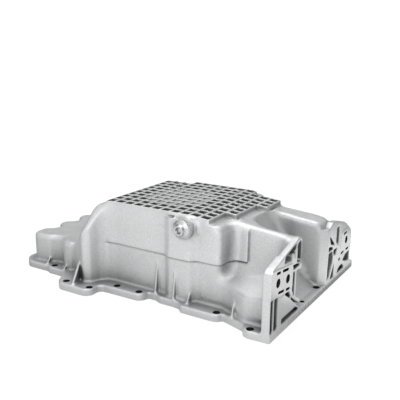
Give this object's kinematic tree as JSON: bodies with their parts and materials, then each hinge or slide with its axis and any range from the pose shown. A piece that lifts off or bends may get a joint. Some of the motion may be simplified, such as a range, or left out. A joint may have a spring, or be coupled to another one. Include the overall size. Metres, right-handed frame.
{
  "type": "engine oil pan",
  "caption": "Cast aluminium engine oil pan with a ribbed sump bottom, bolted flange, two gearbox ears, a scooped recess and a drain plug.",
  "frame": {"origin": "centre of the outline, on the flange face that bolts to the engine block", "axes": "+Z from the flange face to the bottom of the sump, +X towards the gearbox ears, -Y towards the drain plug side"},
  "size_m": [0.406, 0.293, 0.116],
  "materials": {
    "casting": "as cast and shot-blasted, flange and pads machined",
    "washer": "plain",
    "plug": "bright zinc plated"
  },
  "bodies": {
    "pan": {"pan_casting": "casting"},
    "washer": {"drain_washer": "washer"},
    "plug": {"drain_plug": "plug"}
  },
  "joints": [
    {"name": "plug_travel", "type": "slide", "parent": "pan", "child": "washer", "axis": [0, -1, 0], "range_m": [0, 0.012]},
    {"name": "plug_turn", "type": "hinge", "parent": "washer", "child": "plug", "pos_m": [0.076, -0.1095, 0.101], "axis": [0, -1, 0], "range_deg": [0, 2881]}
  ],
  "couplings": [
    {"joint": "plug_turn", "follows": "plug_travel", "rad_per_m": 4188.8}
  ]
}
